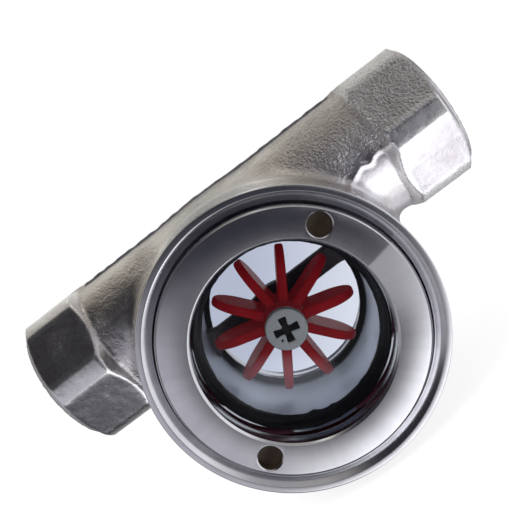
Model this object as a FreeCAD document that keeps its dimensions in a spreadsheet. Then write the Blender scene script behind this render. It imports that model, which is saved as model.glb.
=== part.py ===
# Rotor-type sight flow indicator, 1/2 inch, stainless steel, double window.
#
# Frame: millimetres. The origin is the centre of the inlet port's face, on the pipe axis.
# +X runs downstream along the pipe axis, +Z is up and the front window faces -Y.
# The round viewing chamber hangs below the pipe, its axis parallel to Y at
# x = chamber_x, z = -chamber_drop, so that the stream strikes only the upper blades.
import FreeCAD, Part
import math
import os

doc = FreeCAD.newDocument("sight_glass")
V = FreeCAD.Vector

# ---------------------------------------------------------------- driving dimensions
SIZES = [
    # pipe run
    ("overall_length", 88.0),
    ("barrel_dia", 26.8),
    ("hex_flats", 27.0),
    ("hex_turned_dia", 29.3),
    ("hex_length", 12.2),
    ("hex_shoulder", 0.3),
    ("hex_chamfer_length", 1.4),
    ("hex_face_dia", 24.4),
    ("waterway_dia", 16.0),
    ("port_minor_dia", 18.631),
    ("port_mouth_dia", 19.631),
    ("port_depth", 14.0),
    # chamber
    ("chamber_x", 42.0),
    ("chamber_drop", 16.3),
    ("rim_y", 20.9),
    ("rim_dia", 53.4),
    ("rim_land", 1.2),
    ("waist_dia", 57.6),
    ("cast_fillet", 0.7),
    ("bevel_dia", 51.2),
    ("bevel_depth", 1.5),
    ("ring_bore_dia", 47.1),
    ("ring_bore_floor_y", 17.4),
    ("seat_dia", 44.4),
    ("seat_y", 9.1),
    ("rear_seat_y", 11.1),
    ("chamber_bore_dia", 35.0),
    # bridge across the chamber, cast with the body
    ("bridge_front_y", 8.4),
    ("bridge_rear_y", 11.0),
    ("bridge_low", 0.8),
    ("bridge_high", 5.6),
    ("bridge_half_span", 18.6),
    ("boss_dia", 12.4),
    ("boss_rear_y", 11.9),
    # window stack
    ("ring_dia", 47.0),
    ("ring_face_y", 21.2),
    ("ring_back_y", 17.9),
    ("ring_edge_chamfer", 0.5),
    ("ring_aperture_dia", 35.0),
    ("aperture_chamfer", 0.4),
    ("spanner_pcd", 41.0),
    ("spanner_hole_dia", 4.2),
    ("spanner_hole_depth", 2.8),
    ("spanner_hole_angle", 41.3),
    ("pressure_outer_dia", 43.6),
    ("pressure_inner_dia", 35.0),
    ("pressure_thick", 3.6),
    ("rear_pressure_thick", 1.6),
    ("pressure_edge", 0.2),
    ("glass_dia", 43.8),
    ("glass_thick", 4.0),
    ("glass_edge", 0.35),
    ("gasket_outer_dia", 44.0),
    ("gasket_inner_dia", 32.6),
    ("gasket_edge", 0.25),
    # impeller and pivot; the pivot boss sits a little upstream of the chamber axis
    ("pivot_x", 41.2),
    ("impeller_dia", 30.0),
    ("hub_front_y", -5.3),
    ("hub_rear_y", 7.8),
    ("hub_dia", 8.2),
    ("hub_bore_dia", 6.6),
    ("blade_front_y", -2.4),
    ("blade_rear_y", 8.0),
    ("blade_thick", 1.9),
    ("blade_phase", 21.0),
    ("bush_bore_dia", 5.3),
    ("sleeve_dia", 5.2),
    ("sleeve_bore_dia", 4.1),
    ("thrust_outer_dia", 7.4),
    ("thrust_rear_outer_dia", 6.8),
    ("thrust_thick", 0.5),
    ("screw_dia", 3.96),
    ("screw_hole_dia", 4.0),
    ("screw_head_dia", 8.1),
    ("screw_head_front_y", -7.9),
    ("screw_seat_y", -5.9),
    ("screw_end_y", 11.8),
    ("recess_width", 1.15),
    ("recess_span", 4.5),
    ("recess_depth", 1.5),
]
sheet = doc.addObject("Spreadsheet::Sheet", "Params")
sheet.Label = "Params"
for row, (alias, number) in enumerate(SIZES, start=1):
    sheet.set("A%d" % row, alias)
    sheet.set("B%d" % row, repr(number))
    sheet.setAlias("B%d" % row, alias)
doc.recompute()


class Size:
    """A length with its value and the sheet expression that gives it."""

    def __init__(self, value, text):
        self.value, self.text = value, text

    def _other(self, other):
        return other if isinstance(other, Size) else Size(float(other), repr(float(other)))

    def __add__(self, other):
        o = self._other(other)
        return Size(self.value + o.value, "(%s + %s)" % (self.text, o.text))

    def __sub__(self, other):
        o = self._other(other)
        return Size(self.value - o.value, "(%s - %s)" % (self.text, o.text))

    def __mul__(self, other):
        o = self._other(other)
        return Size(self.value * o.value, "(%s * %s)" % (self.text, o.text))

    def __truediv__(self, other):
        o = self._other(other)
        return Size(self.value / o.value, "(%s / %s)" % (self.text, o.text))

    def __neg__(self):
        return Size(-self.value, "(%s * -1)" % self.text)


S = {alias: Size(number, "Params." + alias) for alias, number in SIZES}
ZERO = Size(0.0, "0")


def half(alias):
    return S[alias] / 2


# ---------------------------------------------------------------- helpers
def new_body(name, x=ZERO, y=ZERO, z=ZERO):
    body = doc.addObject("PartDesign::Body", name)
    body.Label = name
    for axis, size in (("x", x), ("y", y), ("z", z)):
        if size is not ZERO:
            body.setExpression("Placement.Base." + axis, size.text)
    return body


def plane(body, role):
    for feature in body.Origin.OriginFeatures:
        if feature.Role == role:
            return feature
    raise RuntimeError("no origin feature " + role)


def new_sketch(body, role, name, x=None, y=None, z=None):
    """A sketch on one of the body's own origin planes, shifted in the plane's frame."""
    sk = body.newObject("Sketcher::SketchObject", name)
    sk.AttachmentSupport = [(plane(body, role), "")]
    sk.MapMode = "FlatFace"
    for axis, size in (("x", x), ("y", y), ("z", z)):
        if size is not None:
            sk.setExpression("AttachmentOffset.Base." + axis, size.text)
    return sk


def bind(sk, kind, refs, size):
    i = sk.addConstraint(Sketcher_Constraint(kind, *refs, size.value))
    sk.setExpression("Constraints[%d]" % i, size.text)


def Sketcher_Constraint(*args):
    import Sketcher

    return Sketcher.Constraint(*args)


def pin(sk, geo, pos, u, v):
    """Fixes a sketch point at (u, v), each a Size."""
    if abs(u.value) < 1e-9:
        sk.addConstraint(Sketcher_Constraint("PointOnObject", geo, pos, -2))
    else:
        bind(sk, "DistanceX", (-1, 1, geo, pos), u)
    if abs(v.value) < 1e-9:
        sk.addConstraint(Sketcher_Constraint("PointOnObject", geo, pos, -1))
    else:
        bind(sk, "DistanceY", (-1, 1, geo, pos), v)


def polygon(sk, points):
    """A closed polygon whose corners are bound to the sheet."""
    first = sk.GeometryCount
    n = len(points)
    for i in range(n):
        a, b = points[i], points[(i + 1) % n]
        sk.addGeometry(
            Part.LineSegment(V(a[0].value, a[1].value, 0), V(b[0].value, b[1].value, 0)), False
        )
    for i in range(n):
        sk.addConstraint(
            Sketcher_Constraint("Coincident", first + i, 2, first + (i + 1) % n, 1)
        )
    for i, (u, v) in enumerate(points):
        pin(sk, first + i, 1, u, v)


def circle(sk, u, v, radius):
    g = sk.addGeometry(Part.Circle(V(u.value, v.value, 0), V(0, 0, 1), radius.value), False)
    if abs(u.value) < 1e-9 and abs(v.value) < 1e-9:
        sk.addConstraint(Sketcher_Constraint("Coincident", g, 3, -1, 1))
    else:
        pin(sk, g, 3, u, v)
    bind(sk, "Radius", (g,), radius)


def feature(body, kind, name, profile, **props):
    f = body.newObject("PartDesign::" + kind, name)
    f.Profile = profile
    for key, value in props.items():
        if isinstance(value, Size):
            f.setExpression(key, value.text)
        else:
            setattr(f, key, value)
    return f


def turned(body, kind, name, sk, axis):
    return feature(body, kind, name, sk, ReferenceAxis=(sk, [axis]), Angle=360.0)


def volume(body):
    doc.recompute()
    return body.Shape.Volume


# ================================================================ body: the casting
body = new_body("body")
L = S["overall_length"]

# barrel between the two hexagonal pipe ends
sk = new_sketch(body, "YZ_Plane", "barrel_profile", z=S["hex_length"] / 2)
circle(sk, ZERO, ZERO, half("barrel_dia"))
feature(body, "Pad", "barrel", sk, Length=L - S["hex_length"])

# hexagonal ends with a flat on top and below
hex_r = S["hex_flats"] / 2
hex_c = S["hex_flats"] * (1.0 / math.sqrt(3.0))


def hexagon(sk):
    polygon(
        sk,
        [
            (hex_c / 2, hex_r),
            (-(hex_c / 2), hex_r),
            (-hex_c, ZERO),
            (-(hex_c / 2), -hex_r),
            (hex_c / 2, -hex_r),
            (hex_c, ZERO),
        ],
    )


sk = new_sketch(body, "YZ_Plane", "inlet_hex_profile")
hexagon(sk)
feature(body, "Pad", "inlet_hex", sk, Length=S["hex_length"] + S["hex_shoulder"])
sk = new_sketch(body, "YZ_Plane", "outlet_hex_profile", z=L - S["hex_length"] - S["hex_shoulder"])
hexagon(sk)
feature(body, "Pad", "outlet_hex", sk, Length=S["hex_length"] + S["hex_shoulder"])
before = volume(body)

# the hexagons' corners are turned down, their end faces chamfered at 30 degrees, and
# their inner ends slope down to the barrel
turn_r, face_r, far_r = half("hex_turned_dia"), half("hex_face_dia"), S["hex_flats"]
foot_r = half("barrel_dia")
foot = S["hex_length"] + S["hex_shoulder"]
sk = new_sketch(body, "XZ_Plane", "inlet_turning_profile")
polygon(
    sk,
    [
        (-(S["hex_chamfer_length"]), face_r),
        (ZERO, face_r),
        (S["hex_chamfer_length"], turn_r),
        (S["hex_length"], turn_r),
        (foot, foot_r),
        (foot, far_r),
        (-(S["hex_chamfer_length"]), far_r),
    ],
)
turned(body, "Groove", "inlet_turning", sk, "H_Axis")
sk = new_sketch(body, "XZ_Plane", "outlet_turning_profile")
polygon(
    sk,
    [
        (L + S["hex_chamfer_length"], face_r),
        (L, face_r),
        (L - S["hex_chamfer_length"], turn_r),
        (L - S["hex_length"], turn_r),
        (L - foot, foot_r),
        (L - foot, far_r),
        (L + S["hex_chamfer_length"], far_r),
    ],
)
turned(body, "Groove", "outlet_turning", sk, "H_Axis")
after = volume(body)
if not after < before - 50:
    raise RuntimeError("the turning of the hexagons removed nothing")

# chamber: a drafted drum, widest at the parting plane y = 0
drop = S["chamber_drop"]
rim, rim_r, waist_r = S["rim_y"], half("rim_dia"), half("waist_dia")
sk = new_sketch(body, "XY_Plane", "chamber_profile", x=S["chamber_x"], z=-drop)
polygon(
    sk,
    [
        (ZERO, -rim),
        (rim_r, -rim),
        (rim_r, -rim + S["rim_land"]),
        (waist_r, ZERO),
        (rim_r, rim - S["rim_land"]),
        (rim_r, rim),
        (ZERO, rim),
    ],
)
turned(body, "Revolution", "chamber_drum", sk, "V_Axis")
drum_volume = volume(body)

# cast fillets where the drum meets the barrel and where the barrel meets the hexagons
def drum_joins(shape):
    """The edges where the drum's drafted sides run into the barrel."""
    barrel_r = S["barrel_dia"].value / 2
    names = []
    for i, e in enumerate(shape.Edges, start=1):
        span = e.LastParameter - e.FirstParameter
        points = [e.valueAt(e.FirstParameter + span * k / 6.0) for k in range(7)]
        on_barrel = all(abs(math.hypot(p.y, p.z) - barrel_r) < 0.02 for p in points)
        if on_barrel and isinstance(e.Curve, Part.BSplineCurve):
            names.append("Edge%d" % i)
    return names


joins = drum_joins(body.Shape)
if len(joins) < 3:
    raise RuntimeError("the drum's joins to the barrel were not found")
drum = body.Tip
fillet = body.newObject("PartDesign::Fillet", "cast_fillet")
fillet.Base = (drum, joins)
fillet.setExpression("Radius", "Params.cast_fillet")
body.Tip = fillet
if not volume(body) > drum_volume + 10:
    raise RuntimeError("the cast fillet added nothing")
drum_volume = volume(body)

# waterway and the two female ports, tapped G 1/2 (bore at the thread's minor diameter)
sk = new_sketch(body, "XZ_Plane", "waterway_profile")
minor, mouth, way = half("port_minor_dia"), half("port_mouth_dia"), half("waterway_dia")
lead = mouth - minor
polygon(
    sk,
    [
        (ZERO, ZERO),
        (ZERO, mouth),
        (lead, minor),
        (S["port_depth"], minor),
        (S["port_depth"] + (minor - way), way),
        (L - S["port_depth"] - (minor - way), way),
        (L - S["port_depth"], minor),
        (L - lead, minor),
        (L, mouth),
        (L, ZERO),
    ],
)
turned(body, "Groove", "waterway", sk, "H_Axis")
after = volume(body)
if not after < drum_volume - 15000:
    raise RuntimeError("the waterway removed too little")

# chamber bore, glass seats, ring bores and the polished bevels of both rims
bore_r, seat_r, ring_bore_r = half("chamber_bore_dia"), half("seat_dia"), half("ring_bore_dia")
bevel_r = half("bevel_dia")
bevel_in_r = bevel_r - S["bevel_depth"]
sk = new_sketch(body, "XY_Plane", "cavity_profile", x=S["chamber_x"], z=-drop)
polygon(
    sk,
    [
        (ZERO, -rim),
        (bevel_r, -rim),
        (bevel_in_r, -rim + S["bevel_depth"]),
        (ring_bore_r, -rim + S["bevel_depth"]),
        (ring_bore_r, -S["ring_bore_floor_y"]),
        (seat_r, -S["ring_bore_floor_y"]),
        (seat_r, -S["seat_y"]),
        (bore_r, -S["seat_y"]),
        (bore_r, S["rear_seat_y"]),
        (seat_r, S["rear_seat_y"]),
        (seat_r, S["ring_bore_floor_y"]),
        (ring_bore_r, S["ring_bore_floor_y"]),
        (ring_bore_r, rim - S["bevel_depth"]),
        (bevel_in_r, rim - S["bevel_depth"]),
        (bevel_r, rim),
        (ZERO, rim),
    ],
)
turned(body, "Groove", "chamber_cavity", sk, "V_Axis")
cut = volume(body)
if not cut < after - 30000:
    raise RuntimeError("the chamber cavity removed too little")

# bridge bar across the chamber behind the impeller, with the boss that takes the pivot screw
sk = new_sketch(body, "XZ_Plane", "bridge_profile", x=S["chamber_x"], y=-drop, z=-S["bridge_front_y"])
span = S["bridge_half_span"]
polygon(
    sk,
    [
        (-span, S["bridge_low"]),
        (span, S["bridge_low"]),
        (span, S["bridge_high"]),
        (-span, S["bridge_high"]),
    ],
)
feature(body, "Pad", "bridge", sk, Length=S["bridge_rear_y"] - S["bridge_front_y"], Reversed=True)
with_bar = volume(body)
if not with_bar > cut + 300:
    raise RuntimeError("the bridge added nothing")
sk = new_sketch(body, "XZ_Plane", "boss_profile", x=S["pivot_x"], y=-drop, z=-S["bridge_front_y"])
circle(sk, ZERO, ZERO, half("boss_dia"))
feature(body, "Pad", "boss", sk, Length=S["boss_rear_y"] - S["bridge_front_y"], Reversed=True)
with_boss = volume(body)
if not with_boss > with_bar + 100:
    raise RuntimeError("the boss added nothing")
sk = new_sketch(body, "XZ_Plane", "pivot_tapping_profile", x=S["pivot_x"], y=-drop, z=-S["bridge_front_y"])
circle(sk, ZERO, ZERO, half("screw_hole_dia"))
feature(body, "Pocket", "pivot_tapping", sk, Length=S["boss_rear_y"] - S["bridge_front_y"])
if not volume(body) < with_boss - 30:
    raise RuntimeError("the pivot hole removed nothing")


# ================================================================ window stacks
def stack_body(name, x=None):
    return new_body(name, x=x or S["chamber_x"], z=-drop)


def washer(name, near, far, inner, outer, edge=None, x=None):
    """A flat ring turned about the chamber axis, between two y positions, with optional edge chamfers."""
    b = stack_body(name, x)
    sk = new_sketch(b, "XY_Plane", name + "_profile")
    if edge is None:
        polygon(sk, [(inner, near), (outer, near), (outer, far), (inner, far)])
    else:
        polygon(
            sk,
            [
                (inner + edge, near),
                (outer - edge, near),
                (outer, near + edge),
                (outer, far - edge),
                (outer - edge, far),
                (inner + edge, far),
                (inner, far - edge),
                (inner, near + edge),
            ],
        )
    turned(b, "Revolution", name + "_turned", sk, "V_Axis")
    return b


def disc(name, near, far, outer, edge):
    b = stack_body(name)
    sk = new_sketch(b, "XY_Plane", name + "_profile")
    polygon(
        sk,
        [
            (ZERO, near),
            (outer - edge, near),
            (outer, near + edge),
            (outer, far - edge),
            (outer - edge, far),
            (ZERO, far),
        ],
    )
    turned(b, "Revolution", name + "_turned", sk, "V_Axis")
    return b


ring_r, ap_r = half("ring_dia"), half("ring_aperture_dia")
angle = math.radians(S["spanner_hole_angle"].value)
glass_far = S["ring_back_y"] - S["pressure_thick"]
gasket_far = glass_far - S["glass_thick"]
rear_glass_far = S["ring_back_y"] - S["rear_pressure_thick"]
rear_gasket_far = rear_glass_far - S["glass_thick"]
for side, sign in (("front", -1.0), ("rear", 1.0)):
    s = Size(sign, repr(sign))
    # retaining ring: polished face outwards, screwed into the rim, two pin-spanner holes
    ring = stack_body(side + "_retaining_ring")
    sk = new_sketch(ring, "XY_Plane", side + "_ring_profile")
    ch, ach = S["ring_edge_chamfer"], S["aperture_chamfer"]
    polygon(
        sk,
        [
            (ap_r, S["ring_back_y"] * s),
            (ring_r, S["ring_back_y"] * s),
            (ring_r, (S["ring_face_y"] - ch) * s),
            (ring_r - ch, S["ring_face_y"] * s),
            (ap_r + ach, S["ring_face_y"] * s),
            (ap_r, (S["ring_face_y"] - ach) * s),
        ],
    )
    turned(ring, "Revolution", side + "_ring_turned", sk, "V_Axis")
    solid = volume(ring)
    sk = new_sketch(ring, "XZ_Plane", side + "_spanner_profile", z=S["ring_face_y"] * s * -1.0)
    pr = half("spanner_pcd")
    cos_t = "cos(Params.spanner_hole_angle * 1 deg)"
    sin_t = "sin(Params.spanner_hole_angle * 1 deg)"
    hx = pr * Size(math.cos(angle), cos_t)
    hz = pr * Size(math.sin(angle), sin_t)
    circle(sk, hx, hz, half("spanner_hole_dia"))
    circle(sk, -hx, -hz, half("spanner_hole_dia"))
    feature(
        ring, "Pocket", side + "_spanner_holes", sk, Length=S["spanner_hole_depth"], Reversed=(sign > 0)
    )
    removed = solid - volume(ring)
    if not 60 < removed < 90:
        raise RuntimeError("%s spanner holes removed %.1f mm3" % (side, removed))
    # pressure ring between the retaining ring and the glass, glass and gasket
    pressure = (half("pressure_inner_dia"), half("pressure_outer_dia"), S["pressure_edge"])
    if sign < 0:
        washer("front_pressure_ring", S["ring_back_y"] * s, glass_far * s, *pressure)
        disc(side + "_glass", glass_far * s, gasket_far * s, half("glass_dia"), S["glass_edge"])
        washer(side + "_gasket", gasket_far * s, S["seat_y"] * s, half("gasket_inner_dia"), half("gasket_outer_dia"), S["gasket_edge"])
    else:
        washer("rear_pressure_ring", rear_glass_far, S["ring_back_y"], *pressure)
        disc(side + "_glass", rear_gasket_far, rear_glass_far, half("glass_dia"), S["glass_edge"])
        washer(side + "_gasket", S["rear_seat_y"], rear_gasket_far, half("gasket_inner_dia"), half("gasket_outer_dia"), S["gasket_edge"])

# ================================================================ impeller and pivot
# moulded impeller: a hub with ten flat radial blades, each ending in a full round
impeller = new_body("impeller", x=S["pivot_x"], z=-drop)
sk = new_sketch(impeller, "XY_Plane", "hub_profile")
hub_r, hub_in = half("hub_dia"), half("hub_bore_dia")
polygon(
    sk,
    [
        (hub_in, S["hub_front_y"]),
        (hub_r - 0.5, S["hub_front_y"]),
        (hub_r, S["hub_front_y"] + 0.5),
        (hub_r, S["hub_rear_y"] - 0.5),
        (hub_r - 0.5, S["hub_rear_y"]),
        (hub_in, S["hub_rear_y"]),
    ],
)
turned(impeller, "Revolution", "hub", sk, "V_Axis")
hub_volume = volume(impeller)

sk = new_sketch(impeller, "XY_Plane", "blade_profile")
y0, y1 = S["blade_front_y"], S["blade_rear_y"]
tip_r = (y1 - y0) / 2
mid = (y1 + y0) / 2
cx = half("impeller_dia") - tip_r
root = hub_r - 0.6
lines = [
    (V(root.value, y1.value, 0), V(root.value, y0.value, 0)),
    (V(root.value, y0.value, 0), V(cx.value, y0.value, 0)),
    (V(cx.value, y1.value, 0), V(root.value, y1.value, 0)),
]
for a, b in lines:
    sk.addGeometry(Part.LineSegment(a, b), False)
sk.addGeometry(
    Part.ArcOfCircle(
        Part.Circle(V(cx.value, mid.value, 0), V(0, 0, 1), tip_r.value), -math.pi / 2, math.pi / 2
    ),
    False,
)
C = Sketcher_Constraint
sk.addConstraint(C("Coincident", 0, 2, 1, 1))
sk.addConstraint(C("Tangent", 1, 2, 3, 1))
sk.addConstraint(C("Tangent", 3, 2, 2, 1))
sk.addConstraint(C("Coincident", 2, 2, 0, 1))
sk.addConstraint(C("Horizontal", 1))
sk.addConstraint(C("Horizontal", 2))
sk.addConstraint(C("Vertical", 0))
bind(sk, "DistanceX", (-1, 1, 0, 2), root)
bind(sk, "DistanceY", (-1, 1, 0, 2), y0)
bind(sk, "DistanceX", (-1, 1, 3, 3), cx)
bind(sk, "Radius", (3,), tip_r)
blade = feature(impeller, "Pad", "blade", sk, Length=S["blade_thick"], Midplane=True)
one_blade = volume(impeller)
pattern = impeller.newObject("PartDesign::PolarPattern", "blades")
pattern.Originals = [blade]
pattern.Axis = (sk, ["V_Axis"])
pattern.Angle = 360.0
pattern.Occurrences = 10
impeller.Tip = pattern
ten_blades = volume(impeller)
if not ten_blades - hub_volume > 9.5 * (one_blade - hub_volume):
    raise RuntimeError("the blade pattern is incomplete")
impeller.setExpression("Placement.Rotation.Axis.y", "-1")
impeller.Placement = FreeCAD.Placement(
    V(S["pivot_x"].value, 0, -drop.value),
    FreeCAD.Rotation(V(0, 1, 0), -S["blade_phase"].value),
)

# bearing bush pressed into the hub
washer("impeller_bush", S["hub_front_y"], S["hub_rear_y"], half("bush_bore_dia"), half("hub_bore_dia"), x=S["pivot_x"])
# steel sleeve clamped between the screw's head and the boss; the bush turns on it
washer("pivot_sleeve", S["screw_seat_y"], S["bridge_front_y"], half("sleeve_bore_dia"), half("sleeve_dia"), x=S["pivot_x"])
# thrust washers at both ends of the hub
washer(
    "front_thrust_washer",
    S["screw_seat_y"],
    S["screw_seat_y"] + S["thrust_thick"],
    half("bush_bore_dia"),
    half("thrust_outer_dia"),
    x=S["pivot_x"],
)
washer(
    "rear_thrust_washer",
    S["bridge_front_y"] - S["thrust_thick"],
    S["bridge_front_y"],
    half("bush_bore_dia"),
    half("thrust_rear_outer_dia"),
    x=S["pivot_x"],
)

# cross-recess pivot screw, M4, screwed into the boss
screw = new_body("pivot_screw", x=S["pivot_x"], z=-drop)
sk = new_sketch(screw, "XY_Plane", "screw_profile")
head_r, shank_r = half("screw_head_dia"), half("screw_dia")
hf = S["screw_head_front_y"]
polygon(
    sk,
    [
        (ZERO, hf),
        (head_r - 0.35, hf),
        (head_r, hf + 0.35),
        (head_r, S["screw_seat_y"]),
        (shank_r, S["screw_seat_y"]),
        (shank_r, S["screw_end_y"] - 0.5),
        (shank_r - 0.5, S["screw_end_y"]),
        (ZERO, S["screw_end_y"]),
    ],
)
turned(screw, "Revolution", "screw_turned", sk, "V_Axis")
plain = volume(screw)
sk = new_sketch(screw, "XZ_Plane", "recess_profile", z=-hf)
w, a = S["recess_width"] / 2, S["recess_span"] / 2
polygon(
    sk,
    [
        (-w, -a), (w, -a), (w, -w), (a, -w), (a, w), (w, w),
        (w, a), (-w, a), (-w, w), (-a, w), (-a, -w), (-w, -w),
    ],
)
recess = feature(screw, "Pocket", "cross_recess", sk, Length=S["recess_depth"], TaperAngle=-8.0)
removed = plain - volume(screw)
if not 5 < removed < 30:
    raise RuntimeError("the cross recess removed %.2f mm3" % removed)
screw.Placement = FreeCAD.Placement(
    V(S["pivot_x"].value, 0, -drop.value), FreeCAD.Rotation(V(0, 1, 0), 13.0)
)

# ================================================================ check and write
doc.recompute()
for obj in doc.Objects:
    if any(word in ("Invalid", "Error") for word in obj.State):
        raise RuntimeError("%s is %s" % (obj.Name, obj.State))
os.makedirs("parts", exist_ok=True)
bodies = [o for o in doc.Objects if o.TypeId == "PartDesign::Body"]
for b in bodies:
    if b.Shape.isNull() or not b.Shape.isValid():
        raise RuntimeError(b.Label + " has no valid shape")
    if len(b.Shape.Solids) != 1:
        raise RuntimeError("%s has %d solids" % (b.Label, len(b.Shape.Solids)))
for b in bodies:
    b.Shape.exportStep("parts/%s.step" % b.Label)
    bb = b.Shape.BoundBox
    print("%-22s %9.1f mm3  x %6.2f %6.2f  y %6.2f %6.2f  z %6.2f %6.2f"
          % (b.Label, b.Shape.Volume, bb.XMin, bb.XMax, bb.YMin, bb.YMax, bb.ZMin, bb.ZMax))
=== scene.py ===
import math

import bpy
import numpy as np
from mathutils import Matrix, Vector


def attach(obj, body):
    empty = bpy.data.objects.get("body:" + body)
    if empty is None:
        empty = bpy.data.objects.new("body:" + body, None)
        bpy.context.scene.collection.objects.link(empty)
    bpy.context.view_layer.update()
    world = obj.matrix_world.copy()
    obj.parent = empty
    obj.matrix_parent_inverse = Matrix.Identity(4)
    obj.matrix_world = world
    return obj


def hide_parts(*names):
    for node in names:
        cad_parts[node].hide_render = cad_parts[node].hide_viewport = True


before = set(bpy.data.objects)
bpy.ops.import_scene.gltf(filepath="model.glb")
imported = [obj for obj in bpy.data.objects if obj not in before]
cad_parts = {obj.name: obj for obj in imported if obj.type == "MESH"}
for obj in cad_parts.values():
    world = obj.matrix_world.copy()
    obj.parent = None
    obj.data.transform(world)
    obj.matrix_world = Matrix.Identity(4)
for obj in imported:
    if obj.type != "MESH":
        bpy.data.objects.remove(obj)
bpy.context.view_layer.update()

# All shape code works in millimetres in the row frame; objects are made in metres.
MM = 0.001
CX, CZ = 42.0, -16.3          # chamber axis, parallel to Y
L = 88.0
PX = 41.2                     # pivot axis of the impeller
BLADE_PHASE = 21.0

# ------------------------------------------------------------------ small maths
def smin(a, b, k):
    h = np.clip(0.5 + 0.5 * (b - a) / k, 0.0, 1.0)
    return b * (1 - h) + a * h - k * h * (1 - h)


def smax(a, b, k):
    return -smin(-a, -b, k)


def step(lo, hi, v):
    t = np.clip((v - lo) / (hi - lo), 0.0, 1.0)
    return t * t * (3 - 2 * t)


def _hash(ix, iy, iz, seed):
    n = (ix * 73856093) ^ (iy * 19349663) ^ (iz * 83492791) ^ (seed * 2654435761)
    n = n & 0xFFFFFFFF
    n = (n ^ (n >> 15)) * 2246822519 & 0xFFFFFFFF
    n = (n ^ (n >> 13)) * 3266489917 & 0xFFFFFFFF
    n = n ^ (n >> 16)
    return (n & 0xFFFFFF) / float(0xFFFFFF) * 2.0 - 1.0


def noise3(p, seed=0):
    """Smooth value noise in [-1, 1] at points p (n x 3)."""
    i = np.floor(p).astype(np.int64)
    f = p - i
    f = f * f * f * (f * (f * 6 - 15) + 10)
    out = 0.0
    for dx in (0, 1):
        wx = f[:, 0] if dx else 1 - f[:, 0]
        for dy in (0, 1):
            wy = f[:, 1] if dy else 1 - f[:, 1]
            for dz in (0, 1):
                wz = f[:, 2] if dz else 1 - f[:, 2]
                out = out + wx * wy * wz * _hash(i[:, 0] + dx, i[:, 1] + dy, i[:, 2] + dz, seed)
    return out


def fbm(p, seed=0, octaves=3):
    total, amp, out = 0.0, 1.0, 0.0
    for o in range(octaves):
        out = out + amp * noise3(p * (2.03 ** o) + 17.3 * o, seed + 11 * o)
        total += amp
        amp *= 0.5
    return out / total


# ------------------------------------------------------------------ meshes
def make(name, verts_mm, faces, sharp=None, smooth=True):
    me = bpy.data.meshes.new(name)
    me.from_pydata((np.asarray(verts_mm, float) * MM).tolist(), [], [list(map(int, f)) for f in faces])
    me.update()
    if smooth:
        me.shade_smooth()
        if sharp is not None:
            me.set_sharp_from_angle(angle=math.radians(sharp))
    o = bpy.data.objects.new(name, me)
    bpy.context.scene.collection.objects.link(o)
    return o


def surface_nets(field, lo, hi, h, project=3):
    """Quad mesh of field = 0 (negative inside), its points moved on to the true surface."""
    lo, hi = np.array(lo, float), np.array(hi, float)
    n = np.ceil((hi - lo) / h).astype(int) + 1
    xs, ys, zs = (lo[a] + h * np.arange(n[a]) for a in range(3))
    F = np.empty(n, np.float32)
    gy, gz = np.meshgrid(ys, zs, indexing="ij")
    slab = 12
    for i0 in range(0, n[0], slab):
        i1 = min(n[0], i0 + slab)
        k = i1 - i0
        P = np.empty((k, n[1], n[2], 3))
        P[..., 0] = xs[i0:i1, None, None]
        P[..., 1] = gy[None]
        P[..., 2] = gz[None]
        F[i0:i1] = field(P.reshape(-1, 3)).reshape(k, n[1], n[2])
    S = F < 0
    cells = np.zeros(n - 1, np.uint8)
    for dx in (0, 1):
        for dy in (0, 1):
            for dz in (0, 1):
                cells += S[dx:n[0] - 1 + dx, dy:n[1] - 1 + dy, dz:n[2] - 1 + dz]
    active = (cells > 0) & (cells < 8)
    index = -np.ones(n - 1, np.int64)
    ci = np.argwhere(active)
    index[active] = np.arange(len(ci))
    pos, cnt = np.zeros((len(ci), 3)), np.zeros(len(ci))
    corners = [(dx, dy, dz) for dx in (0, 1) for dy in (0, 1) for dz in (0, 1)]
    for a in corners:
        for axis in range(3):
            if a[axis]:
                continue
            b = list(a)
            b[axis] = 1
            fa = F[ci[:, 0] + a[0], ci[:, 1] + a[1], ci[:, 2] + a[2]].astype(float)
            fb = F[ci[:, 0] + b[0], ci[:, 1] + b[1], ci[:, 2] + b[2]].astype(float)
            cross = (fa < 0) != (fb < 0)
            t = np.where(cross, fa / np.where(cross, fa - fb, 1.0), 0.0)
            for ax in range(3):
                v = a[ax] + (t if ax == axis else 0.0)
                pos[:, ax] += np.where(cross, v, 0.0)
            cnt += cross
    pos /= cnt[:, None]
    V = lo + (ci + pos) * h
    quads = []
    for axis in range(3):
        sl_a = [slice(None)] * 3
        sl_b = [slice(None)] * 3
        sl_a[axis], sl_b[axis] = slice(0, -1), slice(1, None)
        A, B = S[tuple(sl_a)], S[tuple(sl_b)]
        change = A != B
        e = np.argwhere(change)
        u, w = [(1, 2), (2, 0), (0, 1)][axis]
        ok = (e[:, u] > 0) & (e[:, w] > 0) & (e[:, u] < n[u] - 1) & (e[:, w] < n[w] - 1)
        e = e[ok]
        inside_first = A[e[:, 0], e[:, 1], e[:, 2]]
        def cell(du, dw):
            c = e.copy()
            c[:, u] -= du
            c[:, w] -= dw
            return index[c[:, 0], c[:, 1], c[:, 2]]
        q = np.stack([cell(1, 1), cell(0, 1), cell(0, 0), cell(1, 0)], 1)
        q[~inside_first] = q[~inside_first][:, ::-1]
        quads.append(q)
    Q = np.concatenate(quads)
    N = None
    for _ in range(project):
        f, g = gradient(field, V)
        stepv = np.clip(f, -0.6 * h, 0.6 * h)[:, None] * g
        V = V - stepv
    f, N = gradient(field, V)
    return V, Q, N


def gradient(field, V, e=0.02):
    f = field(V)
    g = np.empty_like(V)
    for a in range(3):
        d = np.zeros(3)
        d[a] = e
        g[:, a] = (field(V + d) - field(V - d)) / (2 * e)
    ln = np.linalg.norm(g, axis=1, keepdims=True)
    return f, g / np.maximum(ln, 1e-6)


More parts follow.
